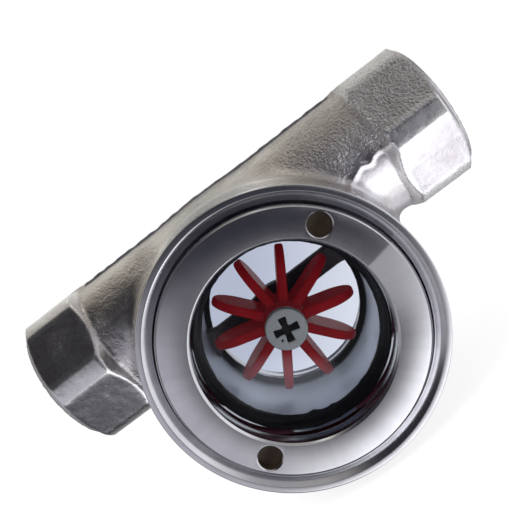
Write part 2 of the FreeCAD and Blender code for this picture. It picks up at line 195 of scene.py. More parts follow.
def rounded(points, n=3):
    """A closed profile [(a, b, radius), ...] with its corners rounded."""
    out = []
    m = len(points)
    for i in range(m):
        p = np.array(points[i][:2], float)
        r = points[i][2] if len(points[i]) > 2 else 0.0
        if r <= 0:
            out.append(p)
            continue
        a = np.array(points[i - 1][:2], float) - p
        b = np.array(points[(i + 1) % m][:2], float) - p
        la, lb = np.linalg.norm(a), np.linalg.norm(b)
        a, b = a / la, b / lb
        ang = math.acos(max(-1, min(1, float(a @ b))))
        t = min(r / math.tan(ang / 2), 0.45 * la, 0.45 * lb)
        rr = t * math.tan(ang / 2)
        c = p + (a + b) / np.linalg.norm(a + b) * (rr / math.sin(ang / 2))
        s, e2 = p + a * t - c, p + b * t - c
        a0, a1 = math.atan2(s[1], s[0]), math.atan2(e2[1], e2[0])
        d = (a1 - a0 + math.pi) % (2 * math.pi) - math.pi
        for k in range(n + 1):
            q = a0 + d * k / n
            out.append(c + rr * np.array([math.cos(q), math.sin(q)]))
    return np.array(out)


def revolve(name, profile, segs=160, shift=None, sharp=32.0, cx=CX, cz=CZ):
    """Turns a closed profile of (y, r) about the chamber axis. shift(theta, y, r) may move points."""
    prof = np.asarray(profile, float)
    m = len(prof)
    area = 0.5 * np.sum(prof[:, 0] * np.roll(prof[:, 1], -1) - np.roll(prof[:, 0], -1) * prof[:, 1])
    if area > 0:
        prof = prof[::-1]
    th = np.arange(segs) * 2 * math.pi / segs
    Y = np.repeat(prof[None, :, 0], segs, 0)
    R = np.repeat(prof[None, :, 1], segs, 0)
    T = np.repeat(th[:, None], m, 1)
    if shift is not None:
        Y, R = shift(T, Y, R)
    V = np.stack([cx + R * np.cos(T), Y, cz + R * np.sin(T)], -1).reshape(-1, 3)
    faces = []
    for i in range(segs):
        a, b = i * m, ((i + 1) % segs) * m
        for j in range(m):
            k = (j + 1) % m
            faces.append((a + j, b + j, b + k, a + k))
    return make(name, V, faces, sharp=sharp)


def revolve_disc(name, profile, segs=160, sharp=32.0):
    """Turns an open profile of (y, r) whose ends are on the axis (r = 0)."""
    prof = np.asarray(profile, float)
    inner = prof[1:-1]
    m = len(inner)
    th = np.arange(segs) * 2 * math.pi / segs
    V = [(CX, prof[0][0], CZ), (CX, prof[-1][0], CZ)]
    for t in th:
        for y, r in inner:
            V.append((CX + r * math.cos(t), y, CZ + r * math.sin(t)))
    faces = []
    for i in range(segs):
        a, b = 2 + i * m, 2 + ((i + 1) % segs) * m
        faces.append((0, b, a))
        faces.append((1, a + m - 1, b + m - 1))
        for j in range(m - 1):
            faces.append((a + j, b + j, b + j + 1, a + j + 1))
    if prof[0][0] > prof[-1][0]:
        faces = [f[::-1] for f in faces]
    return make(name, V, faces, sharp=sharp)


def tube(name, p0, p1, r, segs=96):
    """A closed cylinder between two points, for cutting."""
    p0, p1 = np.array(p0, float), np.array(p1, float)
    d = (p1 - p0) / np.linalg.norm(p1 - p0)
    a = np.cross(d, [0, 0, 1.0] if abs(d[2]) < 0.9 else [1.0, 0, 0])
    a /= np.linalg.norm(a)
    b = np.cross(d, a)
    V, F = [], []
    for p in (p0, p1):
        for i in range(segs):
            t = 2 * math.pi * i / segs
            V.append(p + r * (a * math.cos(t) + b * math.sin(t)))
    for i in range(segs):
        j = (i + 1) % segs
        F.append((i, j, segs + j, segs + i))
    F.append(tuple(range(segs))[::-1])
    F.append(tuple(range(segs, 2 * segs)))
    return make(name, V, F, smooth=False)


def cut(obj, cutters, sharp=32.0):
    """Subtracts closed meshes from obj and applies the result."""
    for c in cutters:
        m = obj.modifiers.new("cut", "BOOLEAN")
        m.operation, m.solver, m.object = "DIFFERENCE", "EXACT", c
    bpy.context.view_layer.update()
    dg = bpy.context.evaluated_depsgraph_get()
    me = bpy.data.meshes.new_from_object(obj.evaluated_get(dg))
    obj.modifiers.clear()
    obj.data = me
    me.shade_smooth()
    me.set_sharp_from_angle(angle=math.radians(sharp))
    for c in cutters:
        bpy.data.objects.remove(c)
    return obj


# ------------------------------------------------------------------ the casting
BARREL_R = 13.0
RIDGE = np.array([[64.8, -9.0], [66.6, -5.5], [68.0, -2.5], [69.5, 0.6], [70.3, -1.6], [71.2, -2.6],
                  [72.0, 0.3], [73.2, 1.6], [74.3, 0.3], [75.4, 0.8]])


def ridge_distance(x, ang):
    """Distance along the barrel's surface to the wandering flow ridge, in mm."""
    s = ang * (math.pi / 180.0) * BARREL_R
    best = np.full_like(x, 99.0)
    pts = np.stack([RIDGE[:, 0], RIDGE[:, 1] * math.pi / 180.0 * BARREL_R], 1)
    for a, b in zip(pts[:-1], pts[1:]):
        d = b - a
        t = np.clip(((x - a[0]) * d[0] + (s - a[1]) * d[1]) / (d @ d), 0, 1)
        best = np.minimum(best, np.hypot(x - a[0] - t * d[0], s - a[1] - t * d[1]))
    return best


def casting(P):
    x, y, z = P[:, 0], P[:, 1], P[:, 2]
    xe = np.minimum(x, L - x)
    rho = np.hypot(y, z)
    ay, az = np.abs(y), np.abs(z)
    barrel = rho - BARREL_R
    # parting flash along the top and bottom of the pipe run
    flash = 0.50 * np.exp(-((y / 0.75) ** 4)) * (0.82 + 0.18 * np.sin(x * 1.7) * np.sin(x * 0.61 + 1.0))
    barrel = barrel - np.where(z > 0, flash, 0.6 * flash)
    # hexagons
    hexd = smax(az - 13.5, ay * 0.8660254 + az * 0.5 - 13.5, 0.25)
    hexd = smax(hexd, rho - 14.65, 0.18)
    hexd = smax(hexd, (rho - 12.2 - xe * 1.75) * 0.4961, 0.15)
    hexd = smax(hexd, ((xe - 12.1) * 1.55 + (rho - 14.65) * 1.5) / 2.157, 0.35)
    body = smin(barrel, hexd, 0.45)
    # drum
    q = np.hypot(x - CX, z - CZ)
    draft = 28.8 - (28.8 - 26.65) * np.clip(ay / 19.7, 0, 1)
    drum = (q - draft) * 0.994
    drum = drum - 0.18 * np.exp(-((y / 0.5) ** 2))
    drum = smax(drum, ay - 20.5, 0.5)
    body = smin(body, drum, 2.6)
    body = np.maximum(body, -xe)
    # hollows, a little over size behind the machined liners
    chamber = np.maximum(q - 18.2, np.where(y > 0, ay - 11.6, ay - 9.6))
    seat = np.maximum(q - 23.2, ay - 17.7)
    seat = np.maximum(seat, np.where(y > 0, 11.4, 9.4) - ay)
    mouth = np.maximum(q - 25.3, 17.4 - ay)
    pipe = rho - 8.12
    port = np.maximum(rho - 10.8, xe - 14.8)
    hollow = np.minimum.reduce([chamber, seat, mouth, pipe, port])
    return np.maximum(body, -hollow)


def cast_mesh():
    V, Q, N = surface_nets(casting, (-0.9, -21.6, -46.2), (88.9, 21.7, 15.7), 0.37)
    # surface of the casting: slow waviness, orange peel and fine grain
    x, y, z = V[:, 0], V[:, 1], V[:, 2]
    xe = np.minimum(x, L - x)
    q = np.hypot(x - CX, z - CZ)
    rho = np.hypot(y, z)
    ang = np.degrees(np.arctan2(z, -y))
    outer = (q > 24.8) & (rho > 11.5)
    onhex = step(13.6, 12.4, xe)
    slow = fbm(V / 5.0, 3, 2) * 0.05
    peel = fbm(V / 1.25, 7, 2) * 0.05
    fine = noise3(V / 0.62, 19) * 0.018
    rough_zone = step(0.05, 0.45, fbm(V / 7.0, 23, 2) + 0.25 * (1 - onhex))
    disp = slow + peel * (0.55 + 0.75 * rough_zone) + fine * (0.6 + rough_zone)
    # the wandering ridge on the front of the outlet side of the barrel
    rd = ridge_distance(x, ang)
    front = (ang > -60) & (ang < 60) & (x > 60) & (xe > 11.0) & (rho > 12)
    ridge = np.where(front, 0.34 * np.exp(-((rd / 0.42) ** 2)) * step(20.5, 22.5, -0 * x + 22.5), 0.0)
    # smoother below the ridge
    below = np.where((ang < -2) & (x > 60) & (xe > 12) & (y < 0), 1.0, 0.0)
    disp = disp * (1 - 0.65 * below) + ridge
    disp = np.where(outer, disp, 0.0)
    # machined end faces and rims stay true
    disp = disp * step(0.05, 0.5, xe) * step(20.5, 20.1, np.abs(y))
    V = V + N * disp[:, None]
    V[:, 0] = np.clip(V[:, 0], 0.0, L)
    o = make("body_casting", V, Q)
    me = o.data
    def attr(name, v):
        a = me.attributes.new(name, "FLOAT", "POINT")
        a.data.foreach_set("value", np.asarray(v, np.float32))
    # painted reflection: faces turned upward are marked for a warm brown-grey base; the rest keep a lighter cold grey,
    # copying how the surroundings reflect
    upward_painted_reflection = step(0.1, 0.8, N[:, 2]) * (1 - 0.6 * onhex)
    attr("upward_painted_reflection", upward_painted_reflection)
    right_up = step(58, 66, x) * step(-4.0, 0.5, z + 0.35 * y + 1.0) * (xe > 0.6)
    left_foot = step(15.5, 18.5, x) * step(30, 24, x) * step(2.5, -1.5, z) * (y < 0)
    left_hex = step(14.5, 12.5, x)
    grain = 0.30 + 0.50 * rough_zone + 0.75 * right_up + 0.55 * left_foot - 0.45 * left_hex - 0.7 * below
    grain = grain - 0.35 * step(26.0, 27.0, q) * (np.abs(y) > 12)
    attr("grain", np.clip(grain, 0, 1.3))
    turned = step(14.22, 14.42, rho) * step(12.6, 12.3, xe)
    turned = np.maximum(turned, step(12.0, 12.3, xe) * step(14.4, 13.6, xe) * step(13.3, 13.7, rho) * 0.8)
    attr("turned", turned * (np.abs(N[:, 0]) < 0.9))
    # painted shade: mask along the parting seam on top of the barrel, which the material paints as a dark dull band
    attr("parting_seam_painted_shade", step(1.95, 1.25, np.abs(y + 0.35 + 0.10 * np.sin(x * 0.9) + 0.10 * np.sin(x * 2.3 + 1.0))) * (z > 6.0) * step(14.0, 14.5, xe) * (q > 28.9))
    attr("drum", step(14.2, 14.9, rho) * (xe > 15))
    return o


# ------------------------------------------------------------------ materials
class Nodes:
    def __init__(self, name, world=False):
        if world:
            self.owner = bpy.data.worlds.new(name)
        else:
            self.owner = bpy.data.materials.new(name)
        self.owner.use_nodes = True
        self.t = self.owner.node_tree
        self.t.nodes.clear()

    def add(self, kind, **props):
        inputs = props.pop("inputs", {})
        n = self.t.nodes.new(kind)
        for k, v in props.items():
            setattr(n, k, v)
        for k, v in inputs.items():
            self.put(n, k, v)
        return n

    def put(self, n, key, v):
        s = n.inputs[key]
        if isinstance(v, bpy.types.NodeSocket):
            self.t.links.new(v, s)
        else:
            s.default_value = v

    def math(self, op, a, b=0.0, c=0.0, clamp=False):
        n = self.add("ShaderNodeMath", operation=op, use_clamp=clamp)
        for i, v in enumerate((a, b, c)):
            self.put(n, i, v)
        return n.outputs[0]

    def ramp(self, fac, stops, mode="LINEAR"):
        n = self.add("ShaderNodeValToRGB", inputs={"Fac": fac})
        cr = n.color_ramp
        cr.interpolation = mode
        while len(cr.elements) < len(stops):
            cr.elements.new(0.5)
        for e, (p, c) in zip(cr.elements, stops):
            e.position = p
            e.color = (c, c, c, 1) if isinstance(c, (int, float)) else (*c, 1)
        return n.outputs["Color"]

    def noise(self, vec, scale, detail=3.0, rough=0.55, distortion=0.0):
        n = self.add("ShaderNodeTexNoise", inputs={"Vector": vec, "Scale": scale, "Detail": detail,
                                                    "Roughness": rough, "Distortion": distortion})
        return n.outputs["Fac"]

    def mix(self, fac, a, b):
        n = self.add("ShaderNodeMix", data_type="RGBA")
        self.put(n, 0, fac)
        self.put(n, 6, a)
        self.put(n, 7, b)
        return n.outputs[2]

    def mixf(self, fac, a, b):
        n = self.add("ShaderNodeMix", data_type="FLOAT")
        self.put(n, 0, fac)
        self.put(n, 2, a)
        self.put(n, 3, b)
        return n.outputs[0]

    def mm(self):
        """Object coordinates in millimetres."""
        tc = self.add("ShaderNodeTexCoord")
        n = self.add("ShaderNodeVectorMath", operation="SCALE", inputs={0: tc.outputs["Object"]})
        n.inputs["Scale"].default_value = 1000.0
        return n.outputs[0]

    def attr(self, name):
        return self.add("ShaderNodeAttribute", attribute_name=name).outputs["Fac"]

    def bump(self, height, strength, distance_mm, normal=None):
        n = self.add("ShaderNodeBump", inputs={"Height": height, "Strength": strength,
                                                "Distance": distance_mm * MM})
        if normal is not None:
            self.put(n, "Normal", normal)
        return n.outputs[0]

    def out(self, shader):
        o = self.add("ShaderNodeOutputMaterial")
        self.t.links.new(shader, o.inputs["Surface"])
        return self.owner


def rgb(r, g, b):
    return (r, g, b, 1.0)


def cast_material():
    m = Nodes("cast_steel_surface")
    p = m.mm()
    grain = m.attr("grain")
    upward_painted_reflection = m.attr("upward_painted_reflection")
    n1 = m.noise(p, 0.22, 3.0)
    n2 = m.noise(p, 1.1, 4.0, 0.6)
    n3 = m.noise(p, 3.4, 3.0, 0.6)
    vor = m.add("ShaderNodeTexVoronoi", feature="F1", inputs={"Vector": p, "Scale": 1.35, "Randomness": 1.0})
    pits = m.ramp(vor.outputs["Distance"], [(0.0, 0.0), (0.20, 1.0)])
    speck = m.ramp(n3, [(0.30, 0.0), (0.44, 1.0)])
    turned, parting_seam_painted_shade, drum = m.attr("turned"), m.attr("parting_seam_painted_shade"), m.attr("drum")
    # painted reflection by facing: lighter cold grey on front and side faces, warm brown-grey on upward faces
    base = m.mix(upward_painted_reflection, rgb(0.72, 0.705, 0.74), rgb(0.60, 0.565, 0.53))
    base = m.mix(m.math("MULTIPLY", m.ramp(n1, [(0.35, 0.0), (0.7, 1.0)]), 0.7), base, rgb(0.48, 0.45, 0.44))
    base = m.mix(turned, base, rgb(0.84, 0.83, 0.84))
    base = m.mix(m.math("MULTIPLY", drum, 0.8), base, rgb(0.82, 0.81, 0.79))
    dark = m.math("MULTIPLY", m.math("SUBTRACT", 1.0, speck), m.math("MULTIPLY", grain, 0.55))
    base = m.mix(dark, base, rgb(0.13, 0.11, 0.10))
    rough = m.math("ADD", m.mixf(n2, 0.20, 0.34), m.math("MULTIPLY", grain, 0.06))
    n4 = m.noise(p, 1.9, 2.0, 0.5)
    b1 = m.bump(n2, m.math("ADD", 0.16, m.math("MULTIPLY", grain, 0.4)), 0.14)
    b2 = m.bump(n3, m.math("ADD", 0.10, m.math("MULTIPLY", grain, 0.7)), 0.13, b1)
    b2 = m.bump(n4, m.math("MULTIPLY", grain, 0.85), 0.34, b2)
    b3 = m.bump(pits, m.math("MULTIPLY", grain, 0.5), 0.06, b2)
    bsdf = m.add("ShaderNodeBsdfPrincipled", inputs={"Base Color": base, "Metallic": 1.0, "Roughness": rough,
                                                      "Normal": b3})
    # painted shade: a near-black, dull, non-metal shader mixed in along the parting seam stands in for the shade beside
    # the raised flash
    seam_shade_bsdf = m.add("ShaderNodeBsdfPrincipled", inputs={"Base Color": m.mix(n2, rgb(0.012, 0.012, 0.018), rgb(0.05, 0.05, 0.065)),
                                                      "Roughness": 0.6, "Specular IOR Level": 0.15, "Normal": b2})
    mix = m.add("ShaderNodeMixShader", inputs={0: m.math("MULTIPLY", parting_seam_painted_shade, m.mixf(n2, 0.78, 0.96)), 1: bsdf.outputs[0], 2: seam_shade_bsdf.outputs[0]})
    return m.out(mix.outputs[0])


def turned_material(name, base=(0.70, 0.70, 0.73), rough=0.2, lines=0.35, aniso=0.5, stain=0.1, metal=1.0):
    """Lathe-finished stainless steel: fine circular tool marks about the chamber axis."""
    m = Nodes(name)
    p = m.mm()
    sep = m.add("ShaderNodeSeparateXYZ", inputs={0: p})
    dx = m.math("SUBTRACT", sep.outputs[0], CX)
    dz = m.math("SUBTRACT", sep.outputs[2], CZ)
    r = m.math("SQRT", m.math("ADD", m.math("MULTIPLY", dx, dx), m.math("MULTIPLY", dz, dz)))
    comb = m.add("ShaderNodeCombineXYZ", inputs={0: r, 1: sep.outputs[1], 2: 0.0})
    line = m.noise(comb.outputs[0], 9.0, 2.0, 0.7)
    line2 = m.noise(comb.outputs[0], 2.4, 2.0, 0.6)
    blotch = m.noise(p, 0.16, 3.0, 0.6)
    scr = m.noise(p, 2.2, 2.0, 0.5, 1.0)
    col = m.mix(m.math("MULTIPLY", line2, 0.3), rgb(*base), rgb(base[0] * 0.8, base[1] * 0.8, base[2] * 0.82))
    col = m.mix(m.math("MULTIPLY", m.ramp(blotch, [(0.45, 0.0), (0.75, 1.0)]), stain), col, rgb(0.35, 0.33, 0.33))
    # painted reflection: base darker in streaks by angle about the axis, copying the streaked reflection of a turned
    # face
    polar = m.add("ShaderNodeCombineXYZ", inputs={0: m.math("DIVIDE", dx, r), 1: m.math("DIVIDE", dz, r), 2: 0.0})
    painted_reflection_streak = m.noise(polar.outputs[0], 5.0, 3.0, 0.65)
    col = m.mix(m.math("MULTIPLY", m.ramp(painted_reflection_streak, [(0.35, 1.0), (0.62, 0.0)]), 0.22), col,
                rgb(base[0] * 0.62, base[1] * 0.62, base[2] * 0.65))
    ro = m.math("ADD", m.mixf(line, rough * 0.8, rough * 1.25), m.math("MULTIPLY", blotch, 0.06))
    # sector where the facing tool chattered: duller, with one sharp side
    ang = m.math("ARCTAN2", dz, dx)
    w0 = m.add("ShaderNodeMapRange", interpolation_type="SMOOTHSTEP", inputs={
        "Value": ang, "From Min": math.radians(-34), "From Max": math.radians(-2), "To Min": 0.0, "To Max": 1.0})
    w1 = m.add("ShaderNodeMapRange", interpolation_type="SMOOTHSTEP", inputs={
        "Value": ang, "From Min": math.radians(9), "From Max": math.radians(11), "To Min": 1.0, "To Max": 0.0})
    sector = m.math("MULTIPLY", w0.outputs[0], w1.outputs[0])
    ro = m.math("ADD", ro, m.math("MULTIPLY", sector, 0.16 if metal == 1.0 and lines > 0.42 else 0.0))
    b = m.bump(line, lines * 0.25, 0.03)
    b = m.bump(scr, 0.03, 0.03, b)
    tan = m.add("ShaderNodeTangent", direction_type="RADIAL", axis="Y")
    bsdf = m.add("ShaderNodeBsdfPrincipled", inputs={"Base Color": col, "Metallic": metal, "Roughness": ro,
                                                      "Anisotropic": aniso, "Normal": b,
                                                      "Tangent": tan.outputs[0]})
    return m.out(bsdf.outputs[0])


def port_material():
    m = Nodes("threaded_port_steel")
    p = m.mm()
    sep = m.add("ShaderNodeSeparateXYZ", inputs={0: p})
    line = m.noise(m.add("ShaderNodeCombineXYZ", inputs={0: sep.outputs[0], 1: m.math("SQRT", m.math(
        "ADD", m.math("MULTIPLY", sep.outputs[1], sep.outputs[1]),
        m.math("MULTIPLY", sep.outputs[2], sep.outputs[2]))), 2: 0.0}).outputs[0], 6.0, 2.0, 0.6)
    blotch = m.noise(p, 0.5, 3.0, 0.6)
    col = m.mix(blotch, rgb(0.62, 0.61, 0.60), rgb(0.50, 0.48, 0.46))
    ro = m.mixf(line, 0.22, 0.38)
    bsdf = m.add("ShaderNodeBsdfPrincipled", inputs={"Base Color": col, "Metallic": 1.0, "Roughness": ro,
                                                      "Normal": m.bump(line, 0.12, 0.03)})
    return m.out(bsdf.outputs[0])


def glass_material():
    m = Nodes("window_glass_clear")
    p = m.mm()
    lp = m.add("ShaderNodeLightPath")
    smudge = m.noise(p, 0.35, 3.0, 0.6)
    specks = m.ramp(m.noise(p, 4.0, 2.0, 0.5), [(0.74, 0.0), (0.80, 1.0)])
    ro = m.math("ADD", m.math("MULTIPLY", m.ramp(smudge, [(0.55, 0.0), (0.8, 1.0)]), 0.02), 0.0)
    fr = m.add("ShaderNodeFresnel", inputs={"IOR": 1.46})
    gr = m.add("ShaderNodeBsdfRefraction", inputs={"Color": rgb(0.955, 0.965, 0.99), "IOR": 1.46, "Roughness": ro})
    gg = m.add("ShaderNodeBsdfGlossy", inputs={"Color": rgb(1, 1, 1), "Roughness": ro})
    g = m.add("ShaderNodeMixShader", inputs={0: m.math("MULTIPLY", fr.outputs[0], 0.8), 1: gr.outputs[0], 2: gg.outputs[0]})
    t = m.add("ShaderNodeBsdfTransparent", inputs={"Color": rgb(0.93, 0.945, 0.97)})
    d = m.add("ShaderNodeBsdfDiffuse", inputs={"Color": rgb(0.8, 0.82, 0.86)})
    g2 = m.add("ShaderNodeMixShader", inputs={0: m.math("MULTIPLY", specks, 0.10), 1: g.outputs[0], 2: d.outputs[0]})
    bounced = m.math("MULTIPLY", m.math("MAXIMUM", lp.outputs["Is Diffuse Ray"], lp.outputs["Is Glossy Ray"]),
                     m.math("SUBTRACT", 1.0, lp.outputs["Is Transmission Ray"]))
    thru = m.math("MAXIMUM", lp.outputs["Is Shadow Ray"], bounced)
    mix = m.add("ShaderNodeMixShader", inputs={0: thru, 1: g2.outputs[0], 2: t.outputs[0]})
    # soft bloom of a window light on the outer face of the front glass
    sep = m.add("ShaderNodeSeparateXYZ", inputs={0: p})
    dx = m.math("SUBTRACT", sep.outputs[0], CX - 5.6)
    dz = m.math("SUBTRACT", sep.outputs[2], CZ - 6.8)
    a = m.math("DIVIDE", m.math("SUBTRACT", m.math("MULTIPLY", dx, 0.79), m.math("MULTIPLY", dz, 0.62)), 12.5)
    b = m.math("DIVIDE", m.math("ADD", m.math("MULTIPLY", dx, 0.62), m.math("MULTIPLY", dz, 0.79)), 6.0)
    rr = m.math("ADD", m.math("MULTIPLY", a, a), m.math("MULTIPLY", b, b))
    soft = m.add("ShaderNodeMapRange", interpolation_type="SMOOTHSTEP", inputs={
        "Value": rr, "From Min": 0.05, "From Max": 1.0, "To Min": 0.068, "To Max": 0.0})
    front = m.math("LESS_THAN", sep.outputs[1], -13.9)
    power = m.math("MULTIPLY", soft.outputs[0], m.math("MULTIPLY", front, lp.outputs["Is Camera Ray"]))
    bloom = m.add("ShaderNodeEmission", inputs={"Color": rgb(0.80, 0.86, 1.0), "Strength": power})
    out = m.add("ShaderNodeAddShader", inputs={0: mix.outputs[0], 1: bloom.outputs[0]})
    return m.out(out.outputs[0])


def rubber_material():
    m = Nodes("black_rubber_gasket")
    p = m.mm()
    n = m.noise(p, 1.6, 4.0, 0.6)
    f = m.noise(p, 7.0, 2.0, 0.6)
    dust = m.ramp(m.noise(p, 5.0, 2.0, 0.5), [(0.70, 0.0), (0.78, 1.0)])
    col = m.mix(n, rgb(0.0022, 0.0022, 0.003), rgb(0.006, 0.006, 0.007))
    col = m.mix(m.math("MULTIPLY", dust, 0.12), col, rgb(0.25, 0.24, 0.25))
    bsdf = m.add("ShaderNodeBsdfPrincipled", inputs={"Base Color": col, "Roughness": m.mixf(n, 0.22, 0.45),
                                                      "Specular IOR Level": 0.14,
                                                      "Normal": m.bump(f, 0.2, 0.05, m.bump(n, 0.3, 0.12))})
    return m.out(bsdf.outputs[0])


def red_material():
    m = Nodes("red_translucent_plastic")
    p = m.mm()
    lp = m.add("ShaderNodeLightPath")
    n = m.noise(p, 0.5, 3.0, 0.5)
    f = m.noise(p, 2.6, 3.0, 0.6)
    col = m.mix(n, rgb(0.46, 0.011, 0.018), rgb(0.31, 0.006, 0.011))
    b = m.bump(f, 0.10, 0.05)
    bsdf = m.add("ShaderNodeBsdfPrincipled", inputs={
        "Base Color": col, "Roughness": m.mixf(f, 0.20, 0.32), "IOR": 1.36, "Specular IOR Level": 0.19,
        "Specular Tint": rgb(1.0, 0.72, 0.74),
        "Subsurface Weight": 0.4, "Subsurface Scale": 0.0018, "Subsurface Radius": (1.0, 0.12, 0.10), "Normal": b})
    tr = m.add("ShaderNodeBsdfTranslucent", inputs={"Color": rgb(0.60, 0.018, 0.028), "Normal": b})
    mix = m.add("ShaderNodeMixShader", inputs={0: 0.40, 1: bsdf.outputs[0], 2: tr.outputs[0]})
    # light scattered many times inside the plastic
    glow = m.add("ShaderNodeEmission", inputs={"Color": m.mix(n, rgb(0.050, 0.001, 0.002), rgb(0.030, 0.0006, 0.001)),
                                               "Strength": 1.0})
    lit = m.add("ShaderNodeAddShader", inputs={0: mix.outputs[0], 1: glow.outputs[0]})
    dull = m.add("ShaderNodeBsdfDiffuse", inputs={"Color": rgb(0.06, 0.028, 0.038)})
    bounced = m.math("MULTIPLY", m.math("MAXIMUM", lp.outputs["Is Diffuse Ray"], lp.outputs["Is Glossy Ray"]),
                     m.math("SUBTRACT", 1.0, lp.outputs["Is Transmission Ray"]))
    out = m.add("ShaderNodeMixShader", inputs={0: m.math("MULTIPLY", bounced, 0.94),
                                               1: lit.outputs[0], 2: dull.outputs[0]})
    return m.out(out.outputs[0])


def screw_material():
    m = Nodes("screw_zinc_steel")
    p = m.mm()
    n = m.noise(p, 0.9, 3.0, 0.6)
    f = m.noise(p, 8.0, 3.0, 0.65)
    col = m.mix(n, rgb(0.47, 0.485, 0.455), rgb(0.38, 0.39, 0.37))
    bsdf = m.add("ShaderNodeBsdfPrincipled", inputs={"Base Color": col, "Metallic": 0.85,
                                                      "Roughness": m.mixf(n, 0.42, 0.55),
                                                      "Normal": m.bump(f, 0.22, 0.02)})
    return m.out(bsdf.outputs[0])


def polymer_material(name, a, b, rough=(0.35, 0.5)):
    m = Nodes(name)
    p = m.mm()
    n = m.noise(p, 1.2, 3.0, 0.6)
    f = m.noise(p, 7.0, 2.0, 0.6)
    col = m.mix(n, rgb(*a), rgb(*b))
    bsdf = m.add("ShaderNodeBsdfPrincipled", inputs={"Base Color": col, "Roughness": m.mixf(n, *rough),
                                                      "Subsurface Weight": 0.1, "Subsurface Scale": 0.001,
                                                      "Normal": m.bump(f, 0.12, 0.02)})
    return m.out(bsdf.outputs[0])


def dark_steel(name, a, b, rough):
    """Dark steel: oil and dirt in the spanner holes, painted shade in the screw's cross recess."""
    m = Nodes(name)
    p = m.mm()
    n = m.noise(p, 1.6, 3.0, 0.6)
    f = m.noise(p, 9.0, 2.0, 0.6)
    bsdf = m.add("ShaderNodeBsdfPrincipled", inputs={"Base Color": m.mix(n, rgb(*a), rgb(*b)), "Metallic": 0.3,
                                                      "Specular IOR Level": 0.2,
                                                      "Roughness": m.mixf(n, *rough), "Normal": m.bump(f, 0.2, 0.02)})
    return m.out(bsdf.outputs[0])


def cast_painted_shade(name):
    """Cast skin in the shade of the chamber, painted dark as shade: dull, brown black with lighter wear."""
    m = Nodes(name)
    p = m.mm()
    n = m.noise(p, 0.8, 3.0, 0.6)
    f = m.noise(p, 3.2, 3.0, 0.65)
    wear = m.ramp(m.noise(p, 1.7, 3.0, 0.6), [(0.58, 0.0), (0.72, 1.0)])
    # painted shade: brown-black base, a darker copy of the cast steel outside
    col = m.mix(n, rgb(0.075, 0.060, 0.060), rgb(0.16, 0.13, 0.125))
    col = m.mix(m.math("MULTIPLY", wear, 0.45), col, rgb(0.34, 0.31, 0.31))
    bsdf = m.add("ShaderNodeBsdfPrincipled", inputs={"Base Color": col, "Metallic": 0.8,
                                                      "Roughness": m.mixf(f, 0.30, 0.48),
                                                      "Normal": m.bump(f, 0.4, 0.08)})
    return m.out(bsdf.outputs[0])


HOLE_DARK = dark_steel("spanner_hole_steel", (0.022, 0.015, 0.010), (0.06, 0.042, 0.03), (0.3, 0.5))
# painted shade: near-black steel for the screw's cross recess
RECESS_PAINTED_SHADE = dark_steel("screw_recess_painted_shade", (0.004, 0.004, 0.004), (0.016, 0.014, 0.012), (0.4, 0.6))
# painted shade: the bridge bar gets a darker copy of the cast steel for the shade inside the chamber
BRIDGE = cast_painted_shade("bridge_cast_painted_shade")
WALL = turned_material("chamber_wall_steel", (0.61, 0.655, 0.765), 0.36, 0.5, 0.1, 0.12, metal=0.5)
CAST = cast_material()
TURNED = turned_material("turned_steel_ring", (0.76, 0.76, 0.785), 0.15, 0.45, 0.25)
LINER = turned_material("turned_steel_liner", (0.76, 0.76, 0.785), 0.16, 0.4, 0.2, 0.15)
POLISHED = turned_material("polished_steel_bore", (0.72, 0.71, 0.76), 0.06, 0.12, 0.0, 0.1)
PORT = port_material()
GLASS = glass_material()
RUBBER = rubber_material()
RED = red_material()
SCREW = screw_material()
PTFE = polymer_material("ptfe_white", (0.80, 0.80, 0.78), (0.70, 0.70, 0.68))
BUSH = polymer_material("bush_polymer_dark", (0.030, 0.030, 0.034), (0.055, 0.052, 0.055))


def dress(o, mat, body, slot, *replaced):
    o.data.materials.clear()
    o.data.materials.append(mat)
    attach(o, body)
    if replaced:
        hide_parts(*replaced)
    return o


# ------------------------------------------------------------------ housing
casting_obj = cast_mesh()
dress(casting_obj, CAST, "housing", "cast_steel", "body")

# machined liner of the chamber: rims, bevels, ring bores, seats and the polished chamber wall
half_profile = [
    (9.1, 17.5, 0.12), (9.1, 22.2, 0), (17.45, 22.2, 0.1), (17.45, 23.45, 0), (18.1, 24.0, 0),
    (19.4, 24.05, 0.10), (19.55, 24.25, 0.05), (20.9, 25.6, 0.10), (20.9, 26.5, 0.08), (20.68, 26.72, 0.06),
    (20.0, 26.72, 0), (19.9, 26.0, 0), (17.0, 25.9, 0), (9.0, 23.8, 0), (8.6, 19.2, 0),
]
front_half = [(-a, b, r) for a, b, r in half_profile]
rear_half = [(a + 2.0 if i < 2 else (a + 1.6 if i >= 13 else a), b, r) for i, (a, b, r) in enumerate(half_profile)]
liner_profile = rounded(front_half + rear_half[::-1])
liner = revolve("chamber_liner", liner_profile, segs=240)
cut(liner, [tube("waterway_cut", (-5, 0, 0), (93, 0, 0), 8.0, 128)])
dress(liner, LINER, "housing", "cast_steel")
liner.data.materials.append(WALL)
for poly in liner.data.polygons:
    c = poly.center / MM
    rr = math.hypot(c[0] - CX, c[2] - CZ)
    if rr < 17.62 and -9.05 < c[1] < 11.05:
        poly.material_index = 1


